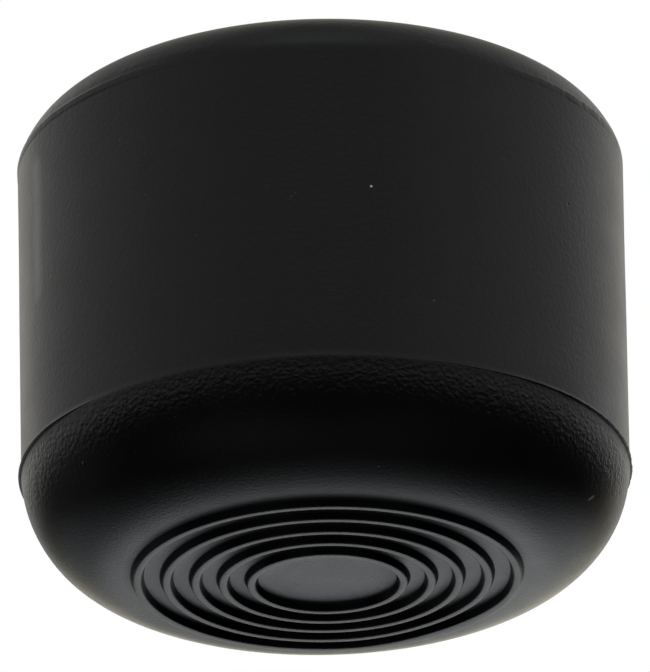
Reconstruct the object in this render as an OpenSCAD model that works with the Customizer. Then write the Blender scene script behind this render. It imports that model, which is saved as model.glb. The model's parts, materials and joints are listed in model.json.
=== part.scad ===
// Push-on end cap for a round tube: one moulding of black rubber.
// It stands on its ringed sole with the mouth of the tube socket upward.
// The origin is on the axis, in the plane that the sole rests on, and +Z
// runs up the axis to the mouth. All sizes are in millimetres.

/* [Tube socket] */
// Outer diameter of the tube that the socket grips
tube_d = 22; // [16:0.5:40]
// Depth of the socket, from the mouth down to its floor
socket_depth = 19; // [12:0.5:40]
// Width and depth of the lead-in chamfer around the socket's mouth
lead_in = 0.5; // [0.2:0.05:0.5]
// Radius of the corner between the socket's wall and its floor
socket_corner_r = 0.6; // [0.2:0.1:1.5]

/* [Side wall] */
// Thickness of the wall at the foot of the rim, where it is thickest
wall_t = 4; // [3:0.1:6]
// How far the drafted wall leans in on its way down to the base
wall_lean = 0.2; // [0:0.05:0.5]

/* [Rim] */
// Height of the rounded rim, from the upper mould split to the mouth
rim_h = 2.5; // [1.5:0.1:2.5]
// Radius of the rim's outer rounding, where the wall leaves room for it
rim_r = 3.5; // [2.5:0.1:4.5]
// Radius of the thin flash bead along the upper mould split
rim_bead_r = 0.08; // [0.04:0.01:0.12]
// How far the upper bead stands out past the wall
rim_bead_out = 0.03; // [0:0.01:0.04]

/* [Base] */
// Thickness of the sole, from the resting plane to the socket's floor
sole_t = 5.5; // [4:0.1:9]
// Height of the lower mould split above the resting plane
split_h = 5.7; // [4:0.1:7]
// How far the base stands out past the foot of the wall
base_step = 0.07; // [0:0.01:0.3]
// Radius of the thin flash bead along the lower mould split
split_bead_r = 0.13; // [0.08:0.01:0.2]
// Radius of the shoulder between the side and the sole
shoulder_r = 5.3; // [3:0.1:6.5]
// Radius of the slight outward crown of the sole
crown_r = 167; // [100:1:400]

/* [Grip rings] */
// Number of raised rings on the sole
ring_count = 5; // [1:1:5]
// Distance from one ring to the next
ring_pitch = 1.385; // [0.9:0.005:1.7]
// Distance from the shoulder's edge in to the middle of the outermost ring
ring_margin = 0.31; // [0.2:0.01:0.5]
// Height of a ring above the sole
ring_h = 0.36; // [0.15:0.01:0.5]
// Width of the flat crest of a ring
ring_crest_w = 0.24; // [0.1:0.01:0.4]
// Radius along both edges of a crest
ring_edge_r = 0.1; // [0.04:0.01:0.14]
// Slope of a ring's flanks, away from upright, in degrees
ring_draft = 20; // [5:1:30]

/* [Hidden] */
$fn = 180;
// Facets on the crown's large circle, fine enough to be a smooth curve
crown_fn = 1440;
// How far a ring's root runs on inside the sole
ring_root = 0.3;
// How far a cut runs on past the surface that it opens
cut_over = 1;

cap_h = sole_t + socket_depth;
socket_r = tube_d / 2;
wall_top_r = socket_r + wall_t;
wall_foot_r = wall_top_r - wall_lean;
base_r = wall_foot_r + base_step;
rim_z = cap_h - rim_h;

// The rim's rounding ends level with the mouth, outside the lead-in, so a
// thin wall limits its radius.
rim_room = wall_t - lead_in;
rim_round_r = min(rim_r, (rim_room * rim_room + rim_h * rim_h) / (2 * rim_h));
rim_centre_z = cap_h - rim_round_r;
rim_centre_r = wall_top_r - sqrt(rim_round_r * rim_round_r - pow(max(rim_z - rim_centre_z, 0), 2));

// The crown's circle is centred on the axis. The shoulder's arc starts level
// with it, and the outermost ring covers the seam between the two. The
// innermost ring carries the cap at z = 0.
shoulder_centre_r = base_r - shoulder_r;
ring_out_r = shoulder_centre_r - ring_margin;
ring_in_r = ring_out_r - (ring_count - 1) * ring_pitch;
function crown_rise(r) = crown_r - sqrt(crown_r * crown_r - r * r);
crown_z = ring_h - crown_rise(ring_in_r);
shoulder_centre_z = crown_z + crown_rise(shoulder_centre_r) + shoulder_r;

// Half section of the side wall, with its draft
module wall_half() {
    polygon([[0, split_h], [wall_foot_r, split_h], [wall_top_r, rim_z], [0, rim_z]]);
}

// Half section of the rim: a rounding from the wall over to the mouth
module rim_half() {
    translate([0, rim_z]) square([rim_centre_r, rim_h]);
    intersection() {
        translate([rim_centre_r, rim_centre_z]) circle(r = rim_round_r);
        translate([rim_centre_r, rim_z]) square([wall_t, rim_h]);
    }
}

// Half section of the sole, inside the shoulder, with its slight crown
module sole_half() {
    intersection() {
        translate([0, crown_z]) translate([0, crown_r]) circle(r = crown_r, $fn = crown_fn);
        square([ring_out_r, split_h]);
    }
}

// Half section of the shoulder, with a straight side where it is low
module shoulder_half() {
    intersection() {
        translate([shoulder_centre_r, shoulder_centre_z]) circle(r = shoulder_r);
        translate([ring_out_r, 0])
            square([base_r - ring_out_r, min(split_h, shoulder_centre_z)]);
    }
    if (shoulder_centre_z < split_h)
        translate([ring_out_r, shoulder_centre_z])
            square([base_r - ring_out_r, split_h - shoulder_centre_z]);
}

// Section of one grip ring: crest down on y = 0, root up inside the sole
module ring_section() {
    half_crest = ring_crest_w / 2;
    flank_x = half_crest + ring_edge_r * cos(ring_draft);
    flank_y = ring_edge_r * (1 - sin(ring_draft));
    root_y = ring_h + ring_root;
    root_x = flank_x + (root_y - flank_y) * tan(ring_draft);
    polygon([
        [half_crest, 0], [flank_x, flank_y], [root_x, root_y],
        [-root_x, root_y], [-flank_x, flank_y], [-half_crest, 0]
    ]);
    for (side = [-1, 1])
        translate([side * half_crest, ring_edge_r]) circle(r = ring_edge_r);
}

// The grip rings, each hanging at the height of the crown at its own radius
module rings_half() {
    for (i = [0 : ring_count - 1]) {
        r = ring_in_r + i * ring_pitch;
        translate([r, crown_rise(r) - crown_rise(ring_in_r)]) ring_section();
    }
}

// Section of the flash bead that a mould split leaves around the outside
module bead_section(r, z, bead_r) {
    translate([r, z]) circle(r = bead_r);
}

// Half section of the blind tube socket, with its lead-in and floor corner
module socket_half() {
    translate([0, sole_t]) square([socket_r - socket_corner_r, socket_depth + cut_over]);
    translate([0, sole_t + socket_corner_r]) square([socket_r, socket_depth]);
    translate([socket_r - socket_corner_r, sole_t + socket_corner_r]) circle(r = socket_corner_r);
    polygon([
        [0, cap_h - lead_in], [socket_r, cap_h - lead_in],
        [socket_r + lead_in + cut_over, cap_h + cut_over], [0, cap_h + cut_over]
    ]);
}

// The whole cap: one section turned about the axis
module end_cap() {
    color([0.11, 0.11, 0.115]) rotate_extrude() difference() {
        union() {
            wall_half();
            rim_half();
            sole_half();
            shoulder_half();
            rings_half();
            bead_section(base_r, split_h, split_bead_r);
            bead_section(wall_top_r + rim_bead_out - rim_bead_r, rim_z, rim_bead_r);
        }
        socket_half();
    }
}

end_cap();
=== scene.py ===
# %% [markdown]
# # A push-on rubber end cap for a round tube
# The real part is one moulding of black rubber: a thick side wall round a blind
# socket, a rounded rim, a soft shoulder and a ringed sole. The mould leaves two
# thin lines of flash round the outside, one under the rim and one over the
# shoulder. One solid is the right build, so this lesson makes one dense mesh
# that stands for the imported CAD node, and gives it a rubber finish.

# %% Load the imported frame
import json
import math
import random

import bpy
from mathutils import Matrix, Vector, noise


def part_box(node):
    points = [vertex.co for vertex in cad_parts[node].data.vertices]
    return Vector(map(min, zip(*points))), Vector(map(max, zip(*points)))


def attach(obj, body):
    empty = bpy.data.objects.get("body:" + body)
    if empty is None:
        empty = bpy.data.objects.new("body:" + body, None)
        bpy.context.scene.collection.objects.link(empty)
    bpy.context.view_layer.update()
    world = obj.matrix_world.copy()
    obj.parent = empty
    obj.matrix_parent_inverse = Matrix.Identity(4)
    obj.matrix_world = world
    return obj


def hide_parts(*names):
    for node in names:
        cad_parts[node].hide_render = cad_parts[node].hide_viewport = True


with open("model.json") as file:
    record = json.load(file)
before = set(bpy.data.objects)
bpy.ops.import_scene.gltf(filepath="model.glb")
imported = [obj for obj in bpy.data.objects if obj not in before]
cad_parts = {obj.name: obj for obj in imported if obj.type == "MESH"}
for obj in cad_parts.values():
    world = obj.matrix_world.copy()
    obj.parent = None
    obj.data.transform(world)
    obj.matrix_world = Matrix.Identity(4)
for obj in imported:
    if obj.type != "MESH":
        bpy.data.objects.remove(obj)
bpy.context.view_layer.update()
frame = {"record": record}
node_low, node_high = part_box("end_cap")
print("CAD box in metres:", tuple(node_low), tuple(node_high))

# %% [markdown]
# ## Sizes
# A lathe part is a drawing of half its section, so it needs only radii and
# heights. The box of the CAD node gives the outer radius and the height, and
# the record's mount gives the bore. The rest are the moulder's own choices: the
# rounding of the rim, the shoulder and the pitch of the grip rings. Everything
# is in millimetres until the mesh is made.

# %% Driving dimensions, in millimetres
MM = 0.001

mounts = {m["name"]: m for m in frame["record"]["mounts"]}
socket_r = mounts["tube_socket"]["dims"]["r_mm"]
cap_r = (node_high.x - node_low.x) / 2 / MM
cap_h = (node_high.z - node_low.z) / MM

flash_out = 0.025  # how far the flash under the rim stands out of the wall
flash_r = 0.03
flash_groove = 0.03  # depth of the groove over the flash
wall_top_r = cap_r - flash_out
wall_lean = 0.145
wall_foot_r = wall_top_r - wall_lean
waist_depth = 0.012
rim_z = cap_h - 2.5  # the upper joint of the mould
rim_round_r = 3.5
lead_in = 0.5

sole_t = 5.5
split_z = 5.7  # the lower joint of the mould
split_gap = 0.05  # the shoulder's top row lies this far under the split
split_reach = 0.3  # the foot of the wall blends out over this height
fin_r = 0.03
base_r = wall_top_r - 0.155
flare_out = 0.045
flare_tall = 0.7
shoulder_r = 5.3
shoulder_centre_r = base_r - shoulder_r
crown_r = 167.0  # radius of the slightly crowned sole

ring_count = 5
ring_pitch = 1.385
ring_h = 0.36
ring_crest_w = 0.24
ring_edge_r = 0.10
ring_root_r = 0.07
ring_draft = math.radians(20)
ring_out_r = shoulder_centre_r - 0.31
ring_apron = 0.42  # from the last ring to the start of the shoulder
ring_stray = (0.0, -0.02, -0.07, -0.04, 0.0)  # no ring lies quite on its pitch
ring_radii = [ring_out_r - (ring_count - 1 - i) * ring_pitch + stray
              for i, stray in enumerate(ring_stray)]


def crown_rise(r):
    """How far the crowned sole has risen at radius r."""
    return crown_r - math.sqrt(crown_r * crown_r - r * r)


crown_z = ring_h - crown_rise(ring_radii[0])
shoulder_centre_z = crown_z + crown_rise(shoulder_centre_r) + shoulder_r
print("cap radius, height, bore radius:", round(cap_r, 3), round(cap_h, 3), socket_r)
print("ring radii:", [round(r, 3) for r in ring_radii])


# %% [markdown]
# ## The half section
# The outline starts at the middle of the sole, runs out over the grip rings,
# round the shoulder, up the wall, over the rim and down into the socket. It
# could be one long list of points, but arcs say what the moulder meant: each
# rounding is a centre, a radius and two angles. Every row of the outline also
# carries the number of steps that it takes round the cap, because the grained
# shoulder and the uneven flash need a finer mesh than the plain wall.

# %% Outline helpers
ROUND = 320
FINE = 3 * ROUND
outline = []
print("steps round the cap:", ROUND, "and", FINE)


def add_point(r, z, steps=ROUND, zone="side"):
    """Puts one row on the outline: radius, height, steps round, zone."""
    if outline and math.dist(outline[-1][:2], (r, z)) < 1e-4:
        return
    outline.append((r, z, steps, zone))


def add_arc(centre, radius, start, end, count, steps=ROUND, zone="side"):
    """Puts an arc on the outline. Angles are in degrees, 0 is outward, 90 up."""
    for i in range(count + 1):
        a = math.radians(start + (end - start) * i / count)
        r = centre[0] + radius * math.cos(a)
        z = centre[1] + radius * math.sin(a)
        add_point(r, z, steps, zone)


def ramp(value, start, end):
    """0 before start, 1 past end and straight between them."""
    return min(max((value - start) / (end - start), 0.0), 1.0)


# %% [markdown]
# ## Grip rings
# Each ring is a low ridge with a flat crest, rounded edges, drafted flanks and
# a small root fillet, because a cutter can't leave a sharp inner corner in a
# mould. The ridge hangs down from the crowned sole, so its height is measured
# from the crown at its own radius.

# %% Trace the sole with its rings
draft_deg = math.degrees(ring_draft)


def add_ring(ring_r):
    """One ring, from its inner root over the crest to its outer root."""
    top = crown_z + crown_rise(ring_r)
    crest = top - ring_h
    half = ring_crest_w / 2
    flank_x = half + ring_edge_r * math.cos(ring_draft)
    flank_z = crest + ring_edge_r * (1 - math.sin(ring_draft))
    run = (top - flank_z) * math.tan(ring_draft)
    corner = flank_x + run
    back = ring_root_r * math.tan((math.pi / 2 - ring_draft) / 2)
    centre_x = corner + back
    centre_z = top - ring_root_r
    for side in (-1, 1):
        root = (ring_r + side * centre_x, centre_z)
        edge = (ring_r + side * half, crest + ring_edge_r)
        if side < 0:
            add_arc(root, ring_root_r, 90, draft_deg, 3, zone="sole")
            add_arc(edge, ring_edge_r, 180 + draft_deg, 270, 3, zone="sole")
        else:
            add_arc(edge, ring_edge_r, 270, 360 - draft_deg, 3, zone="sole")
            add_arc(root, ring_root_r, 180 - draft_deg, 90, 3, zone="sole")


for r, steps in ((0.25, 40), (0.6, 80), (1.0, 160), (1.7, ROUND), (2.4, ROUND)):
    add_point(r, crown_z + crown_rise(r), steps, "sole")
for ring_r in ring_radii:
    add_ring(ring_r)
print("rows on the sole:", len(outline))

# %% [markdown]
# ## Shoulder, wall and rim
# The shoulder is nearly a quarter round that starts level with the sole. Its
# upper part carries a leathery grain, so its rows are fine there. The wall
# leans in a little toward the base, which lets it leave the mould, and has a
# slight waist under the rim. Where the halves of the mould meet, rubber creeps
# out: a thin fin over the shoulder, and under the rim a bead with a groove over
# it and a step below. A bump in the shader would paint these lines too, but
# real rows catch the light from every side and stand out at the outline.

# %% Trace the outside, from the shoulder to the mouth
arc_start = -math.degrees(math.acos((ring_out_r + ring_apron - shoulder_centre_r) / shoulder_r))
arc_grain = -38.0  # the finer rows start here
arc_end = math.degrees(math.asin((split_z - split_gap - shoulder_centre_z) / shoulder_r))
shoulder_centre = (shoulder_centre_r, shoulder_centre_z)
add_arc(shoulder_centre, shoulder_r, arc_start, arc_grain, 14, zone="shoulder")
add_arc(shoulder_centre, shoulder_r, arc_grain + 1, arc_end, 27, FINE, "shoulder")

fin_centre_r = wall_top_r - fin_r
base_top_r = outline[-1][0] + flare_out * (1 - split_gap / flare_tall) ** 2
add_point(base_top_r + 0.010, split_z - fin_r - 0.005, FINE, "split")
add_arc((fin_centre_r, split_z), fin_r, -90, 60, 5, FINE, "split")
add_point(wall_foot_r + 0.03, split_z + 0.07, FINE, "split")
add_point(wall_foot_r, split_z + 0.16, FINE, "split")


def wall_r(z):
    """Radius of the drafted wall at height z, with its slight waist under the rim."""
    t = (z - split_z) / (rim_z - split_z)
    waist = math.sin(math.pi * ramp(t, 0.45, 1.0)) ** 2
    return wall_foot_r + wall_lean * t - waist_depth * waist


wall_rows = 14
wall_start = split_z + 0.35
wall_end = rim_z - 0.55
for i in range(wall_rows):
    z = wall_start + (wall_end - wall_start) * i / (wall_rows - 1)
    add_point(wall_r(z), z)

rim_centre_z = cap_h - rim_round_r
rim_centre_r = wall_top_r - math.sqrt(rim_round_r ** 2 - (rim_z - rim_centre_z) ** 2)


def rim_round(z):
    """Radius of the rim's rounding at height z."""
    return rim_centre_r + math.sqrt(rim_round_r ** 2 - (z - rim_centre_z) ** 2)


corner_reach = 0.15  # the corner between wall and rim is eased over this height
corner_cut = 0.011


def flush_r(z):
    """Radius that the outside would have at height z without any flash."""
    if z < split_z + split_reach:
        t = (z - split_z + split_gap) / (split_reach + split_gap)
        return base_top_r + (wall_foot_r - base_top_r) * t
    corner = max(1 - abs(z - rim_z) / corner_reach, 0.0)
    return (wall_r(z) if z < rim_z else rim_round(z)) - corner_cut * corner ** 2


# height over the joint of the mould in mm, and how much of the flash stands there
for rise, share in ((-0.42, 0.0), (-0.35, -0.3), (-0.30, 0.5), (-0.25, 0.85), (-0.12, 0.96)):
    add_point(wall_r(rim_z + rise) + share * flash_out, rim_z + rise, FINE, "flash")
add_arc((cap_r - flash_r, rim_z), flash_r, -10, 35, 3, FINE, "flash")
for rise, share in ((0.13, 1.0), (0.20, 0.85), (0.30, 0.4), (0.42, 0.0)):
    add_point(rim_round(rim_z + rise) - share * flash_groove, rim_z + rise, FINE, "flash")
rim_start = math.degrees(math.asin((rim_z + 0.5 - rim_centre_z) / rim_round_r))
add_arc((rim_centre_r, rim_centre_z), rim_round_r, rim_start, 90, 15)
print("rows with the outside:", len(outline))

# %% [markdown]
# ## The socket
# Nothing of the socket shows when the cap stands on the bench, so it is
# finished plainly: a small lead-in at the mouth, a straight bore and a floor
# with a rounded corner, just as the CAD has it.

# %% Trace the inside, from the mouth to the middle of the floor
floor_corner_r = 0.6
row_gap = 0.1  # a row close to each end of the bore keeps its shading straight


def add_line(start, end, count):
    """Puts a straight run of the socket on the outline, in equal steps."""
    for i in range(count + 1):
        t = i / count
        r = start[0] + (end[0] - start[0]) * t
        z = start[1] + (end[1] - start[1]) * t
        add_point(r, z, zone="socket")


corner = (socket_r - floor_corner_r, sole_t + floor_corner_r)
add_line((socket_r + lead_in, cap_h), (socket_r, cap_h - lead_in), 2)
add_line((socket_r, cap_h - lead_in - row_gap), (socket_r, corner[1] + row_gap), 8)
add_arc(corner, floor_corner_r, 0, -90, 6, zone="socket")
for r, steps in ((10.0, ROUND), (7.0, ROUND), (4.0, 160), (2.0, 80), (0.8, 40)):
    add_point(r, sole_t, steps, "socket")
print("rows on the whole outline:", len(outline))


# %% [markdown]
# ## Uneven flash and leathery grain
# Flash is the skin of rubber that creeps into the joint of the mould, so it is
# never even: it comes and goes round the cap. A few sine waves with seeded
# phases make a ragged line that closes on itself, and near() says where round
# the cap a thing happens. The moulding isn't quite true either: the lower joint
# wanders up at the right, the sole is a hair fuller at the back left, and the
# last rings sit inward at the back right. The coarse part of the grain is a
# noise that is the same on each run, pressed into the mesh itself.

# %% Functions that go round the cap
dice = random.Random(22)
waves = [(count, dice.uniform(0, math.tau)) for count in (7, 13, 29, 47, 83, 131, 190)]


def ragged(angle, shift=0.0):
    """A wavy value round the cap, about -1 to 1, that closes on itself."""
    total = sum(math.sin(n * angle + p + shift * n) / (1 + i * 0.25)
                for i, (n, p) in enumerate(waves))
    return total / 2.2


def near(angle, middle_deg, reach_deg):
    """1 at one place on the way round, falling softly to 0 at reach."""
    gap = abs((math.degrees(angle) - middle_deg + 180) % 360 - 180) / reach_deg
    return (1 - gap * gap) ** 2 if gap < 1 else 0.0


print("waves in the ragged line:", [wave[0] for wave in waves])


# %% Functions that make the two joints of the mould uneven
def flash_swell(angle):
    """How far the flash has crept out, 0 to 1: strongest at the left and right."""
    left = near(angle, -72, 58) * (1.0 + 0.25 * ragged(angle))
    right = near(angle, 60, 30) * (0.5 + 0.5 * ragged(angle, 0.4))
    back = near(angle, 165, 60) * (0.5 + 0.5 * ragged(angle))
    return min(max(left, right, back, 0.0), 1.0)


def split_swell(angle):
    """How far the fin at the lower split stands out, 0 to 1: least in front."""
    degrees = (math.degrees(angle) + 180) % 360 - 180
    left = ramp(-degrees, 48, 64)
    right = ramp(degrees, 18, 62)
    return min(0.02 + left + right * (0.9 + 0.2 * ragged(angle, 0.2)), 1.0)


def split_wave(angle):
    """How far the lower split wanders up from its level, in millimetres."""
    return 0.04 * near(angle, 8, 50) + 0.12 * near(angle, 60, 42)


def flare(z):
    """How far the top of the shoulder flares out toward the split."""
    t = ramp(z, split_z - flare_tall, split_z)
    return flare_out * t * t


strongest = max(range(360), key=lambda degrees: flash_swell(math.radians(degrees)))
print("the flash is strongest at", strongest, "degrees to the right of the front")


# %% Functions that make the sole and the shoulder uneven
def soft_step(value, start, end):
    """0 before start and 1 past end, with a smooth rise between them."""
    t = ramp(value, start, end)
    return t * t * (3 - 2 * t)


full_most = 0.123
pull_last = 0.30
pull_next = 0.16
half_pitch = 0.5


def fullness(r, angle):
    """How far the edge of the sole is fuller at the back left, in millimetres."""
    up = soft_step(r, ring_out_r + 0.4, ring_out_r + 1.9)
    down = soft_step(r, cap_r - 1.8, cap_r - 0.2)
    return full_most * near(angle, -160, 100) * up * (1 - down)


def ring_pull(r, angle):
    """How far the last two rings sit inward at the back right, in millimetres."""
    place = near(angle, 138, 36)
    if ring_radii[-1] - half_pitch < r < ring_radii[-1] - 0.05:
        return pull_last * place
    return pull_next * place if abs(r - ring_radii[-2]) < half_pitch else 0.0


press_depth = 0.005
press_cell = 0.32
press_tall = 0.26


def grain_relief(r, z, angle):
    """Height of the pressed grain in millimetres, on the upper shoulder."""
    rise = ramp(z, 2.6, 3.8)
    edge = ramp(split_z - 0.2 - z, 0.0, 0.6)
    if rise * edge == 0.0:
        return 0.0
    across = r / press_cell
    place = Vector((across * math.cos(angle), across * math.sin(angle), z / press_tall))
    return press_depth * rise * edge * noise.noise(place)


print("the sole is fuller by", full_most, "mm and the last ring sits in by", pull_last, "mm")


# %% [markdown]
# ## Turning the outline
# A Screw modifier would turn the outline as well, but it gives every row the
# same number of steps. Here each row has its own, and a row that is two, three
# or four times finer than its neighbour is stitched to it with triangles.

# %% Turn each row into vertices
vertices = []
flash_wobble = 0.02
split_wobble = 0.006
wave_from_z = 2.0  # the shoulder follows the wandering split from this height on


def row_vertices(index):
    """Adds one ring of vertices and returns the number of its first one."""
    r, z, steps, zone = outline[index]
    first = len(vertices)
    for k in range(steps):
        a = math.tau * k / steps
        dr, dz = 0.0, 0.0
        if zone == "flash":
            dr = -(1 - flash_swell(a)) * (r - flush_r(z))
            dz = flash_wobble * ragged(a, 0.7)
        elif zone == "split":
            dr = -(1 - split_swell(a)) * max(r - flush_r(z), 0.0)
            dz = split_wobble * ragged(a, 0.3) + split_wave(a)
        elif zone == "shoulder":
            tip = ramp(r, shoulder_centre_r, base_r)
            full = fullness(r, a)
            dr = grain_relief(r, z, a) + flare(z) + full * tip
            dz = split_wave(a) * ramp(z, wave_from_z, split_z)
            dz -= full * math.sqrt(1 - tip * tip)
        elif zone == "sole":
            dr = -ring_pull(r, a)
        vertices.append(((r + dr) * MM * math.sin(a), -(r + dr) * MM * math.cos(a), (z + dz) * MM))
    return first


firsts = [row_vertices(i) for i in range(len(outline))]
print("vertices:", len(vertices))


# %% Join the rows into one closed mesh
def stitch(coarse, n, fine, ratio, flip):
    """Joins a coarse row to a finer one with triangles."""
    made = []
    for k in range(n):
        a, b = coarse + k, coarse + (k + 1) % n
        f = [fine + (k * ratio + j) % (n * ratio) for j in range(ratio + 1)]
        middle = ratio // 2
        made += [(a, f[j + 1], f[j]) for j in range(middle)]
        made.append((a, b, f[middle]))
        made += [(b, f[j + 1], f[j]) for j in range(middle, ratio)]
    return [t[::-1] for t in made] if flip else made


def join_rows(low, high, n_low, n_high):
    """Faces between two rows, low being nearer the start of the outline."""
    if n_low == n_high:
        return [(low + k, low + (k + 1) % n_low, high + (k + 1) % n_low, high + k)
                for k in range(n_low)]
    if n_high > n_low:
        return stitch(low, n_low, high, n_high // n_low, False)
    return stitch(high, n_high, low, n_low // n_high, True)


faces = []
face_zones = []
for i in range(len(outline) - 1):
    new = join_rows(firsts[i], firsts[i + 1], outline[i][2], outline[i + 1][2])
    faces += new
    face_zones += [outline[i + 1][3]] * len(new)
for first, row, zone in ((firsts[0], outline[0], "sole"), (firsts[-1], outline[-1], "socket")):
    middle = len(vertices)
    vertices.append((0.0, 0.0, row[1] * MM))
    fan = [(middle, first + (k + 1) % row[2], first + k) for k in range(row[2])]
    faces += fan if zone == "sole" else [t[::-1] for t in fan]
    face_zones += [zone] * len(fan)

cap_mesh = bpy.data.meshes.new("end_cap_rubber")
cap_mesh.from_pydata(vertices, [], faces)
cap_mesh.validate()
cap_mesh.shade_smooth()
cap = bpy.data.objects.new("end_cap_rubber", cap_mesh)
bpy.context.scene.collection.objects.link(cap)
print("triangles:", sum(len(f) - 2 for f in faces))


# %% [markdown]
# ## Rubber
# Moulded black rubber is nearly black under its skin, and what the eye sees is
# the soft sheen of that skin. So the colour stays almost black and the finish
# comes from roughness and fine relief, apart from a few pale streaks that paint
# highlights on the side. A picture of rubber wrapped round the cap would do for
# one view, but nodes stay sharp close up and can be set to another size. Effects
# that several zones share are node groups with named inputs: a mottle, a leathery
# grain, dust specks, a single speck, a streak for scratches and painted
# highlights, and wipe marks. A few helpers keep the wiring short.

# %% Node helpers
def new_group(name, inputs, outputs):
    """An empty shader node group with named sockets."""
    tree = bpy.data.node_groups.new(name, "ShaderNodeTree")
    for kind, label, value in inputs:
        socket = tree.interface.new_socket(label, in_out="INPUT", socket_type=kind)
        socket.default_value = value
    for kind, label in outputs:
        tree.interface.new_socket(label, in_out="OUTPUT", socket_type=kind)
    return tree, tree.nodes.new("NodeGroupInput"), tree.nodes.new("NodeGroupOutput")


def put(tree, kind, links=(), **settings):
    """Adds a node, sets it up and links sockets into it by name or number."""
    node = tree.nodes.new(kind)
    for key, value in settings.items():
        setattr(node, key, value)
    for socket, source in dict(links).items():
        if hasattr(source, "links"):
            tree.links.new(source, node.inputs[socket])
        else:
            node.inputs[socket].default_value = source
    return node


def math_node(tree, operation, *values):
    """A Math node on plain numbers or sockets, returning its output."""
    return put(tree, "ShaderNodeMath", dict(enumerate(values)), operation=operation).outputs[0]


def smooth_range(tree, value, low, high):
    """0 below low, 1 above high, smooth in between; low may be the larger."""
    links = {"Value": value, "From Min": low, "From Max": high}
    node = put(tree, "ShaderNodeMapRange", links, interpolation_type="SMOOTHSTEP")
    return node.outputs["Result"]


FLOAT, VECTOR = "NodeSocketFloat", "NodeSocketVector"
PER_M = 1.0 / MM

# %% [markdown]
# ## Mottle
# Rubber leaves the mould with a skin that is never quite even: soft clouds of
# more and less sheen a few millimetres wide, and a fine tooth like that of
# eggshell. Two noises give both, and the zone that uses them sets how fine the
# tooth is.

# %% Group: rubber mottle
mottle, g_in, g_out = new_group(
    "rubber mottle",
    [(VECTOR, "Position", (0, 0, 0)), (FLOAT, "Cloud Size mm", 2.0), (FLOAT, "Tooth Size mm", 0.15)],
    [(FLOAT, "Cloud"), (FLOAT, "Tooth")])
for label, output in (("Cloud Size mm", "Cloud"), ("Tooth Size mm", "Tooth")):
    scale = math_node(mottle, "DIVIDE", PER_M, g_in.outputs[label])
    links = {"Vector": g_in.outputs["Position"], "Scale": scale, "Detail": 3.0, "Roughness": 0.6}
    cloud = put(mottle, "ShaderNodeTexNoise", links)
    mottle.links.new(cloud.outputs["Fac"], g_out.inputs[output])
print("group:", mottle.name)

# %% [markdown]
# ## Leathery grain
# The mould of the upper shoulder is etched, so the rubber has small pebbles
# there that fade out toward the smooth sole and calm down close to the joint.
# Smooth cells, bent by a noise, give pebbles of uneven shape. The noise that is
# pressed into the mesh is coarser: together they look like worn leather.

# %% Group: leathery grain
bend_by = 0.12 * MM
joint_calm = (5.65, 5.1)
grain, g_in, g_out = new_group(
    "leathery grain",
    [(VECTOR, "Position", (0, 0, 0)), (FLOAT, "Cell Size mm", 0.25), (FLOAT, "From Height mm", 2.5),
     (FLOAT, "To Height mm", 4.2)],
    [(FLOAT, "Relief")])
scale = math_node(grain, "DIVIDE", PER_M, g_in.outputs["Cell Size mm"])
bend = put(grain, "ShaderNodeTexNoise", {"Vector": g_in.outputs["Position"], "Scale": 2500.0})
bent = put(grain, "ShaderNodeVectorMath",
           {0: bend.outputs["Color"], 1: (bend_by, bend_by, bend_by), 2: g_in.outputs["Position"]},
           operation="MULTIPLY_ADD")
bent = put(grain, "ShaderNodeVectorMath", {0: bent.outputs[0], 1: (1.0, 1.0, 1.2)}, operation="MULTIPLY")
cells = put(grain, "ShaderNodeTexVoronoi", {"Vector": bent.outputs[0], "Scale": scale, "Smoothness": 0.6},
            feature="SMOOTH_F1")
fold = put(grain, "ShaderNodeTexNoise", {"Vector": bent.outputs[0], "Scale": scale, "Detail": 1.5})
pebble = math_node(grain, "MULTIPLY_ADD", cells.outputs["Distance"], -0.8, fold.outputs["Fac"])
height = put(grain, "ShaderNodeSeparateXYZ", {0: g_in.outputs["Position"]}).outputs["Z"]
height_mm = math_node(grain, "MULTIPLY", height, PER_M)
fade = smooth_range(grain, height_mm, g_in.outputs["From Height mm"], g_in.outputs["To Height mm"])
calm = smooth_range(grain, height_mm, *joint_calm)
fade = math_node(grain, "MULTIPLY", fade, math_node(grain, "MULTIPLY_ADD", calm, 0.65, 0.35))
relief = math_node(grain, "MULTIPLY", pebble, fade)
grain.links.new(relief, g_out.inputs["Relief"])
print("group:", grain.name)

# %% [markdown]
# ## Dust
# A cap from a box of caps carries dust. Scattering small spheres would be slow
# and would not export, so each cell of a pattern gets one speck, and a random
# lot decides its size. Raised to a power, most lots come to nothing.

# %% Group: dust specks
dust, g_in, g_out = new_group(
    "dust specks",
    [(VECTOR, "Position", (0, 0, 0)), (FLOAT, "Spacing mm", 1.2), (FLOAT, "Speck Size mm", 0.06)],
    [(FLOAT, "Mask")])
scale = math_node(dust, "DIVIDE", PER_M, g_in.outputs["Spacing mm"])
cells = put(dust, "ShaderNodeTexVoronoi", {"Vector": g_in.outputs["Position"], "Scale": scale})
size = math_node(dust, "DIVIDE", g_in.outputs["Speck Size mm"], g_in.outputs["Spacing mm"])
lot = put(dust, "ShaderNodeSeparateColor", {0: cells.outputs["Color"]}).outputs["Red"]
lot = math_node(dust, "POWER", lot, 3.0)
reach = math_node(dust, "MULTIPLY", size, lot)
inner = math_node(dust, "MULTIPLY", reach, 0.4)
mask = smooth_range(dust, cells.outputs["Distance"], reach, inner)
dust.links.new(mask, g_out.inputs["Mask"])
print("group:", dust.name)
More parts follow.
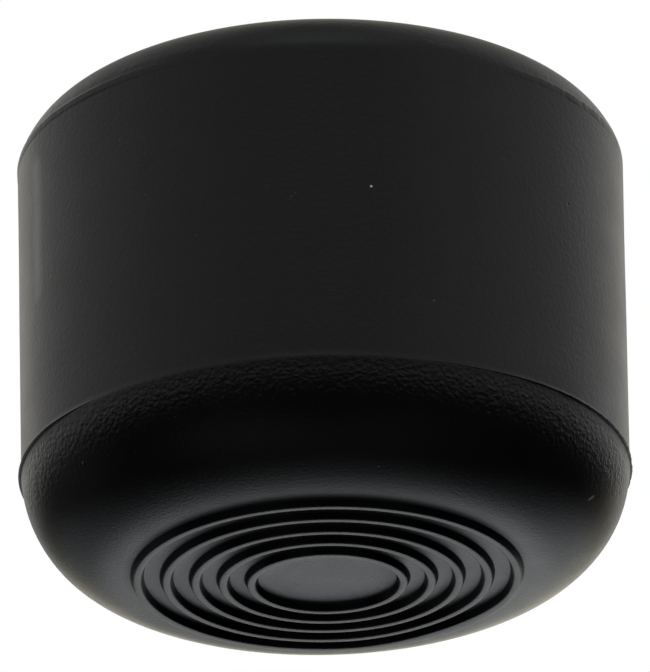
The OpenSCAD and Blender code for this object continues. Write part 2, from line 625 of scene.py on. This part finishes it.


# %% [markdown]
# ## Marks of use and of the mould, and painted highlights
# A handled cap carries a few specks of lint, a pit or a pimple from the mould,
# and faint wipe marks at one place, which follow the round of the shoulder. Two
# pale streaks on the side are painted highlights: one along the lip of the flash
# at the left and a wide one up the wall at the left. A speck is a mask round one
# place and a streak is a mask along one short line, so that the same group can
# paint dust or a highlight, and press a pit. Wipe marks need lengths measured
# round the cap, so that group works in angle, radius and height.

# %% Group: single speck
speck, g_in, g_out = new_group(
    "single speck",
    [(VECTOR, "Position", (0, 0, 0)), (VECTOR, "Place", (0, 0, 0)), (FLOAT, "Radius mm", 0.1)],
    [(FLOAT, "Mask")])
gap = put(speck, "ShaderNodeVectorMath", {0: g_in.outputs["Position"], 1: g_in.outputs["Place"]},
          operation="DISTANCE").outputs["Value"]
gap_mm = math_node(speck, "MULTIPLY", gap, PER_M)
inner = math_node(speck, "MULTIPLY", g_in.outputs["Radius mm"], 0.3)
speck.links.new(smooth_range(speck, gap_mm, g_in.outputs["Radius mm"], inner), g_out.inputs["Mask"])
print("group:", speck.name)

# %% Group: streak, a line mask for scratches and for painted highlights
scratch, g_in, g_out = new_group(
    "scratch",
    [(VECTOR, "Position", (0, 0, 0)), (VECTOR, "From", (0, 0, 0)), (VECTOR, "To", (0, 0, MM)),
     (FLOAT, "Width mm", 0.1)],
    [(FLOAT, "Mask")])
along = put(scratch, "ShaderNodeVectorMath", {0: g_in.outputs["To"], 1: g_in.outputs["From"]},
            operation="SUBTRACT").outputs[0]
reach = put(scratch, "ShaderNodeVectorMath", {0: g_in.outputs["Position"], 1: g_in.outputs["From"]},
            operation="SUBTRACT").outputs[0]
covered = put(scratch, "ShaderNodeVectorMath", {0: reach, 1: along}, operation="DOT_PRODUCT").outputs["Value"]
whole = put(scratch, "ShaderNodeVectorMath", {0: along, 1: along}, operation="DOT_PRODUCT").outputs["Value"]
part = put(scratch, "ShaderNodeClamp", {0: math_node(scratch, "DIVIDE", covered, whole)}).outputs[0]
foot = put(scratch, "ShaderNodeVectorMath", {0: along, "Scale": part}, operation="SCALE").outputs[0]
gap = put(scratch, "ShaderNodeVectorMath", {0: reach, 1: foot}, operation="DISTANCE").outputs["Value"]
gap_mm = math_node(scratch, "MULTIPLY", gap, PER_M)
half = math_node(scratch, "MULTIPLY", g_in.outputs["Width mm"], 0.5)
scratch.links.new(smooth_range(scratch, gap_mm, half, 0.0), g_out.inputs["Mask"])
print("group:", scratch.name)

# %% Group: wipe marks
wipe, g_in, g_out = new_group(
    "wipe marks",
    [(VECTOR, "Position", (0, 0, 0)), (VECTOR, "Place", (0, 0, 0)), (FLOAT, "Reach mm", 5.0),
     (FLOAT, "Length mm", 1.1), (FLOAT, "Width mm", 0.16)],
    [(FLOAT, "Marks")])
axes = put(wipe, "ShaderNodeSeparateXYZ", {0: g_in.outputs["Position"]}).outputs
turn = math_node(wipe, "ARCTAN2", axes["X"], math_node(wipe, "MULTIPLY", axes["Y"], -1.0))
turn = math_node(wipe, "MULTIPLY", turn, cap_r)
turn = math_node(wipe, "DIVIDE", turn, g_in.outputs["Length mm"])
x_squared = math_node(wipe, "POWER", axes["X"], 2.0)
y_squared = math_node(wipe, "POWER", axes["Y"], 2.0)
across = math_node(wipe, "SQRT", math_node(wipe, "ADD", x_squared, y_squared))
across = math_node(wipe, "DIVIDE", math_node(wipe, "MULTIPLY", across, PER_M), g_in.outputs["Width mm"])
rise = math_node(wipe, "DIVIDE", math_node(wipe, "MULTIPLY", axes["Z"], PER_M), g_in.outputs["Width mm"])
lie = put(wipe, "ShaderNodeCombineXYZ", {0: turn, 1: across, 2: rise}).outputs[0]
strokes = put(wipe, "ShaderNodeTexNoise", {"Vector": lie, "Scale": 1.0, "Detail": 2.0})
patches = put(wipe, "ShaderNodeTexNoise", {"Vector": g_in.outputs["Position"], "Scale": 700.0})
patch = smooth_range(wipe, patches.outputs["Fac"], 0.40, 0.60)
gap = put(wipe, "ShaderNodeVectorMath", {0: g_in.outputs["Position"], 1: g_in.outputs["Place"]},
          operation="DISTANCE").outputs["Value"]
gap_mm = math_node(wipe, "MULTIPLY", gap, PER_M)
patch = math_node(wipe, "MULTIPLY", patch, smooth_range(wipe, gap_mm, g_in.outputs["Reach mm"], 0.0))
mark = math_node(wipe, "MULTIPLY", math_node(wipe, "SUBTRACT", strokes.outputs["Fac"], 0.5), patch)
wipe.links.new(mark, g_out.inputs["Marks"])
print("group:", wipe.name)


# %% [markdown]
# ## One rubber, three zones
# The side is a polished part of the mould, the shoulder and sole are grained
# and wiped, and the inside is plain. They are the same rubber, so one function
# builds all three materials and only the sizes and the marks differ. Every mark
# has its place in degrees round the cap and a height, so it stays on the skin
# if a size of the cap changes.

# %% Where the marks are
RUBBER_BLACK = (0.0045, 0.0045, 0.0046, 1.0)
# pale colour of lint and dust, also used to paint highlights on the side
LINT_AND_HIGHLIGHT = (0.85, 0.85, 0.82, 1.0)


def on_skin(azimuth, z):
    """A place on the wall or the shoulder, in metres: degrees to the right of the front."""
    if z > split_z:
        r = wall_r(z)
    else:
        r = shoulder_centre_r + math.sqrt(shoulder_r ** 2 - (shoulder_centre_z - z) ** 2)
    a = math.radians(azimuth)
    return Vector((r * math.sin(a), -r * math.cos(a), z)) * MM


# kind, azimuth in degrees, height and radius in millimetres, strength
side_marks = (
    ("lint", 9.3, 14.5, 0.085, 1.0),
    ("lint", 20.8, 8.85, 0.09, 0.075),
    ("lint", -40.2, 18.7, 0.09, 0.04),
    ("lint", -34.4, 17.5, 0.10, 0.02),
    ("lint", -45.7, 17.0, 0.08, 0.03),
    ("lint", -5.4, 14.0, 0.10, 0.03),
    ("lint", -9.9, 14.7, 0.09, 0.025),
    ("lint", -23.7, 12.6, 0.09, 0.025),
    ("lint", 29.5, 10.9, 0.09, 0.02),
    ("pit", 53.2, 16.0, 0.11, -0.022),
    ("pit", 72.1, 9.5, 0.12, -0.022),
    ("pit", -62.3, 13.6, 0.11, -0.02),
)
shoulder_marks = (
    ("pit", -55.0, 3.2, 0.16, 0.03),
    ("pit", 12.0, 1.2, 0.10, -0.015),
)
# the second side streak is a painted highlight: a wide soft pale band up the wall at the left
side_scratches_and_highlights = [
    (55.2, 19.8, 66.0, 20.3, 0.10, -0.006),
    (-67.9, 13.4, -67.9, 20.0, 1.7, 0.13),
]
shoulder_scratches = [(70.2, 2.36, 70.8, 2.52, 0.28, 0.30)]
# a painted highlight along the lip of the flash at the left, in short pale runs that follow the round
for i, strength in enumerate((0.06, 0.12, 0.15, 0.12, 0.08, 0.04)):
    start = -82.0 + 6.0 * i
    side_scratches_and_highlights.append((start, rim_z + 0.05, start + 6.0, rim_z + 0.05, 0.22, strength))
wiped_place = on_skin(-45.0, 1.0)
print("marks on the side:", len(side_marks) + len(side_scratches_and_highlights))
print("marks on the shoulder:", len(shoulder_marks) + len(shoulder_scratches))


# %% Helpers that put marks on a material
def add_masks(tree, position, marks, kind, total):
    """Adds each mark of one kind, times its strength, to a running total."""
    for name, azimuth, z, radius, strength in marks:
        if name != kind:
            continue
        node = put(tree, "ShaderNodeGroup", node_tree=speck)
        tree.links.new(position, node.inputs["Position"])
        node.inputs["Place"].default_value = on_skin(azimuth, z)
        node.inputs["Radius mm"].default_value = radius
        scale = strength if kind == "lint" else strength * MM
        total = math_node(tree, "MULTIPLY_ADD", node.outputs["Mask"], scale, total)
    return total


def streak_mask(tree, position, azimuth, z, azimuth_to, z_to, width):
    """The mask of one streak between two places on the skin, used both for scratches and for painted
    highlights.
    """
    node = put(tree, "ShaderNodeGroup", node_tree=scratch)
    tree.links.new(position, node.inputs["Position"])
    node.inputs["From"].default_value = on_skin(azimuth, z)
    node.inputs["To"].default_value = on_skin(azimuth_to, z_to)
    node.inputs["Width mm"].default_value = width
    return node.outputs["Mask"]


# %% One rubber material
BLOOM = 0.006  # how pale the crests of the tooth are
DUST = 0.06  # how pale the dust is
SHEEN_CLOUDS = 0.10  # how much the clouds change the roughness


def rubber(name, roughness, tooth_mm, relief_mm, grain_depth_mm=0.0, wipe_depth_mm=0.0,
           dust_spacing_mm=1.2, marks=(), scratches_and_highlights=()):
    """A rubber material; depths are in millimetres."""
    material = bpy.data.materials.new(name)
    material.use_nodes = True
    tree = material.node_tree
    tree.nodes.clear()
    position = put(tree, "ShaderNodeTexCoord").outputs["Object"]
    output = put(tree, "ShaderNodeOutputMaterial")
    skin = put(tree, "ShaderNodeBsdfPrincipled", {"IOR": 1.5, "Specular IOR Level": 0.25})
    tree.links.new(skin.outputs[0], output.inputs["Surface"])

    clouds = put(tree, "ShaderNodeGroup", node_tree=mottle)
    tree.links.new(position, clouds.inputs["Position"])
    clouds.inputs["Tooth Size mm"].default_value = tooth_mm
    specks = put(tree, "ShaderNodeGroup", node_tree=dust)
    tree.links.new(position, specks.inputs["Position"])
    specks.inputs["Spacing mm"].default_value = dust_spacing_mm

    tooth = math_node(tree, "SUBTRACT", clouds.outputs["Tooth"], 0.5)
    height = math_node(tree, "MULTIPLY", tooth, relief_mm * MM)
    if grain_depth_mm:
        leather = put(tree, "ShaderNodeGroup", node_tree=grain)
        tree.links.new(position, leather.inputs["Position"])
        height = math_node(tree, "MULTIPLY_ADD", leather.outputs["Relief"], grain_depth_mm * MM, height)
    if wipe_depth_mm:
        wiped = put(tree, "ShaderNodeGroup", node_tree=wipe)
        tree.links.new(position, wiped.inputs["Position"])
        wiped.inputs["Place"].default_value = wiped_place
        height = math_node(tree, "MULTIPLY_ADD", wiped.outputs["Marks"], wipe_depth_mm * MM, height)
    height = add_masks(tree, position, marks, "pit", height)
    bloom = math_node(tree, "MAXIMUM", math_node(tree, "SUBTRACT", clouds.outputs["Tooth"], 0.45), 0.0)
    lint = math_node(tree, "MULTIPLY", bloom, BLOOM)
    lint = math_node(tree, "MULTIPLY_ADD", specks.outputs["Mask"], DUST, lint)
    lint = add_masks(tree, position, marks, "lint", lint)
    # a negative strength presses a scratch into the skin; a positive one adds pale colour, which on the side
    # paints highlights
    for *line, width, strength in scratches_and_highlights:
        mask = streak_mask(tree, position, *line, width)
        if strength < 0:
            height = math_node(tree, "MULTIPLY_ADD", mask, strength * MM, height)
        else:
            lint = math_node(tree, "MULTIPLY_ADD", mask, strength, lint)
    bump = put(tree, "ShaderNodeBump", {"Height": height, "Distance": 1.0, "Strength": 1.0})
    tree.links.new(bump.outputs["Normal"], skin.inputs["Normal"])

    cloud = math_node(tree, "SUBTRACT", clouds.outputs["Cloud"], 0.5)
    rough = math_node(tree, "MULTIPLY_ADD", cloud, SHEEN_CLOUDS, roughness)
    tree.links.new(rough, skin.inputs["Roughness"])
    # the pale colour carries the bloom, dust and lint, and the painted highlights of the side
    colour = put(tree, "ShaderNodeMix", {"Factor": lint}, data_type="RGBA")
    colour.inputs["A"].default_value = RUBBER_BLACK
    colour.inputs["B"].default_value = LINT_AND_HIGHLIGHT
    tree.links.new(colour.outputs["Result"], skin.inputs["Base Color"])
    print("material:", name)
    return material


# %% Build the materials and lay them on their zones
finishes = (
    rubber("rubber_side", 0.37, 0.24, 0.019, marks=side_marks, scratches_and_highlights=side_scratches_and_highlights),
    rubber("rubber_shoulder", 0.35, 0.15, 0.019, grain_depth_mm=0.026, wipe_depth_mm=0.014,
           dust_spacing_mm=0.6, marks=shoulder_marks, scratches_and_highlights=shoulder_scratches),
    rubber("rubber_socket", 0.45, 0.15, 0.004))
for finish in finishes:
    cap.data.materials.append(finish)
zone_material = {"side": 0, "flash": 0, "split": 0, "shoulder": 1, "sole": 1, "socket": 2}
for polygon, zone in zip(cap.data.polygons, face_zones):
    polygon.material_index = zone_material[zone]

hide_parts("end_cap")
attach(cap, "root")

# %% [markdown]
# ## Floor
# The camera looks up at the sole, as if the cap stood on glass. The floor is a
# pale sheet that shows only from above, and it stays out of the cap's own
# reflections, so that the sole is lit as it is in the hand.

# %% A pale floor that shows from above
floor_mesh = bpy.data.meshes.new("floor")
floor_half = 4.0
floor_mesh.from_pydata([(-floor_half, -floor_half, 0), (floor_half, -floor_half, 0),
                        (floor_half, floor_half, 0), (-floor_half, floor_half, 0)], [], [(0, 1, 2, 3)])
floor = bpy.data.objects.new("floor", floor_mesh)
bpy.context.scene.collection.objects.link(floor)
paper = bpy.data.materials.new("pale_paper")
paper.use_nodes = True
tree = paper.node_tree
tree.nodes.clear()
sheet = put(tree, "ShaderNodeBsdfDiffuse", {"Color": (0.8, 0.8, 0.79, 1.0)})
clear = put(tree, "ShaderNodeBsdfTransparent")
below = put(tree, "ShaderNodeNewGeometry").outputs["Backfacing"]
either = put(tree, "ShaderNodeMixShader", {0: below, 1: sheet.outputs[0], 2: clear.outputs[0]})
put(tree, "ShaderNodeOutputMaterial", {"Surface": either.outputs[0]})
floor.data.materials.append(paper)
floor.visible_diffuse = False
floor.visible_glossy = False
floor.visible_transmission = False
floor.visible_shadow = False
print("floor:", 2 * floor_half, "m square")


# %% [markdown]
# ## Light
# The studio is painted on the world: a light tent that is even all the way
# round above the horizon, and a few soft boxes, each a direction, a size and a
# strength. That keeps the light soft and even without any lamp that could stand
# in a picture. Black rubber shows the room it stands in, so the boxes decide
# where the sheen lies: a low bright sheet behind the cap that the sole mirrors,
# and next to nothing in front below the horizon, which leaves the shoulder
# dark. The camera sees a plain white backdrop instead, and so does the sheen in
# the one narrow direction straight behind, where skin and backdrop meet.

# %% Group: one soft box
soft_box, g_in, g_out = new_group(
    "soft box",
    [(VECTOR, "Direction", (0, 0, 1)), (VECTOR, "Centre", (0, 0, 1)), (FLOAT, "Cos Inner", 0.98),
     (FLOAT, "Cos Outer", 0.9)],
    [(FLOAT, "Mask")])
dot = put(soft_box, "ShaderNodeVectorMath", {0: g_in.outputs["Direction"], 1: g_in.outputs["Centre"]},
          operation="DOT_PRODUCT")
mask = smooth_range(soft_box, dot.outputs["Value"], g_in.outputs["Cos Outer"], g_in.outputs["Cos Inner"])
soft_box.links.new(mask, g_out.inputs["Mask"])
print("group:", soft_box.name)


# %% Where the soft boxes hang
def toward(azimuth, elevation):
    """A direction: azimuth 0 is toward the viewer, 90 to the right, 180 behind."""
    a, e = math.radians(azimuth), math.radians(elevation)
    return Vector((math.sin(a) * math.cos(e), -math.cos(a) * math.cos(e), math.sin(e)))


NEUTRAL = (1.0, 1.0, 1.0)
WARM = (1.05, 1.0, 0.80)
COOL = (0.95, 1.0, 1.06)
# name, azimuth, elevation, degrees to the edge of its full part and to its end, strength, tint
boxes = [
    ("front top", 0, 60, 8, 30, 0.70, COOL),
    ("front left", -60, 26, 10, 35, 0.13, NEUTRAL),
    ("front right", 60, 26, 10, 35, 0.20, NEUTRAL),
    ("side left", -100, 26, 10, 35, 0.13, NEUTRAL),
    ("side right", 100, 26, 10, 35, 0.08, NEUTRAL),
    ("top left", -120, 56, 8, 30, 0.31, NEUTRAL),
    ("top right", 120, 56, 8, 30, 0.37, NEUTRAL),
    ("quarter left", -132, 26, 8, 24, 0.10, NEUTRAL),
    ("quarter right", 132, 26, 8, 24, 0.27, NEUTRAL),
    ("back left", -152, 26, 10, 14, 0.44, WARM),
    ("back right", 152, 26, 7, 16, 0.24, WARM),
    ("back middle right", 168, 26, 5, 14, 0.35, WARM),
    ("back top", 180, 50, 5, 16, 0.45, WARM),
    ("back top left", -148, 42, 6, 16, 0.16, WARM),
    ("back top right", 148, 42, 6, 16, 0.12, WARM),
    ("horizon", 180, 5, 4, 18, 1.40, WARM),
    ("horizon left", -160, 3, 4, 18, 0.14, WARM),
    ("horizon right", 160, 3, 4, 18, 0.55, WARM),
    ("low sheet", 180, -22, 4, 18, 1.05, COOL),
    ("low sheet left", -158, -18, 5, 20, 0.34, COOL),
    ("low sheet right", 163, -18, 5, 20, 0.76, COOL),
    ("lower sheet", 180, -42, 4, 22, 0.76, COOL),
    ("lower sheet left", -150, -38, 6, 26, 0.09, COOL),
    ("lower sheet right", 150, -38, 6, 26, 0.11, COOL),
    ("low left", -114, -14, 6, 24, 0.12, NEUTRAL),
    ("lowest sheet", 180, -62, 6, 24, 0.30, COOL),
    ("under left", -45, -50, 8, 30, 0.19, NEUTRAL),
    ("under right", 40, -50, 8, 30, 0.11, NEUTRAL),
    ("under", 0, -82, 8, 34, 0.07, NEUTRAL),
]
print("soft boxes:", len(boxes))

# %% Paint the world
world = bpy.data.worlds.new("studio")
bpy.context.scene.world = world
world.use_nodes = True
tree = world.node_tree
tree.nodes.clear()
direction = put(tree, "ShaderNodeTexCoord").outputs["Generated"]


def box_mask(azimuth, elevation, inner, outer):
    """The mask of a soft box that is full within inner degrees and gone past outer."""
    node = put(tree, "ShaderNodeGroup", node_tree=soft_box)
    tree.links.new(direction, node.inputs["Direction"])
    node.inputs["Centre"].default_value = toward(azimuth, elevation)
    node.inputs["Cos Inner"].default_value = math.cos(math.radians(inner))
    node.inputs["Cos Outer"].default_value = math.cos(math.radians(outer))
    return node.outputs["Mask"]


TENT = 0.58  # all the way round, above the horizon
TENT_TOP = 0.18  # overhead


def sine(degrees):
    """The height on the unit sphere of an elevation."""
    return math.sin(math.radians(degrees))


rise = put(tree, "ShaderNodeSeparateXYZ", {0: direction}).outputs["Z"]
above = smooth_range(tree, rise, sine(2), sine(13))
over = smooth_range(tree, rise, sine(34), sine(50))
tent = math_node(tree, "MULTIPLY_ADD", over, TENT_TOP - TENT, TENT)
tent = math_node(tree, "MULTIPLY", above, tent)
total = put(tree, "ShaderNodeCombineXYZ", {0: tent, 1: tent, 2: tent}).outputs[0]
for name, azimuth, elevation, inner, outer, strength, tint in boxes:
    lit = put(tree, "ShaderNodeVectorMath", {0: tuple(strength * c for c in tint), 1: (0, 0, 0), 2: total},
              operation="MULTIPLY_ADD")
    tree.links.new(box_mask(azimuth, elevation, inner, outer), lit.inputs[1])
    total = lit.outputs[0]
studio = put(tree, "ShaderNodeBackground", {"Color": total, "Strength": 1.0})
backdrop = put(tree, "ShaderNodeBackground", {"Color": (1, 1, 1, 1), "Strength": 1.0})
path = put(tree, "ShaderNodeLightPath").outputs
sheen = math_node(tree, "MULTIPLY", path["Is Glossy Ray"], box_mask(180, 23, 4, 9))
shown = math_node(tree, "MAXIMUM", path["Is Camera Ray"], path["Is Transmission Ray"])
shown = math_node(tree, "MAXIMUM", shown, sheen)
either = put(tree, "ShaderNodeMixShader", {0: shown, 1: studio.outputs[0], 2: backdrop.outputs[0]})
put(tree, "ShaderNodeOutputWorld", {"Surface": either.outputs[0]})
print("tent strength:", TENT, "and overhead:", TENT_TOP)

# %% [markdown]
# ## Camera
# A long lens from fourteen cap widths away keeps the cap's sides nearly parallel.
# It stands low in front and looks up by a little more than twenty degrees, with
# a slight roll. A Track To constraint would aim it as well, but a matrix holds
# the roll too and says the whole pose in one place.

# %% Place the camera
camera_data = bpy.data.cameras.new("camera")
camera_data.sensor_fit = "HORIZONTAL"
camera_data.sensor_width = 36.0
camera_data.lens = 471.15
camera = bpy.data.objects.new("camera", camera_data)
bpy.context.scene.collection.objects.link(camera)
bpy.context.scene.camera = camera

distance = 416.39 * MM
look_up = math.radians(22.9)
roll = math.radians(-1.0)
swing_z = 8.0 * MM
eye = Vector((0.0, -distance * math.cos(look_up), swing_z - distance * math.sin(look_up)))
target = Vector((0.09 * MM, 0.0, 13.179 * MM))
forward = (target - eye).normalized()
right = forward.cross(Vector((0, 0, 1))).normalized()
up = right.cross(forward)
turned_right = right * math.cos(roll) + up * math.sin(roll)
turned_up = up * math.cos(roll) - right * math.sin(roll)
camera.matrix_world = Matrix((
    (turned_right.x, turned_up.x, -forward.x, eye.x),
    (turned_right.y, turned_up.y, -forward.y, eye.y),
    (turned_right.z, turned_up.z, -forward.z, eye.z),
    (0, 0, 0, 1)))
bpy.context.scene.view_settings.view_transform = "Standard"
print("camera at:", [round(c, 4) for c in eye])
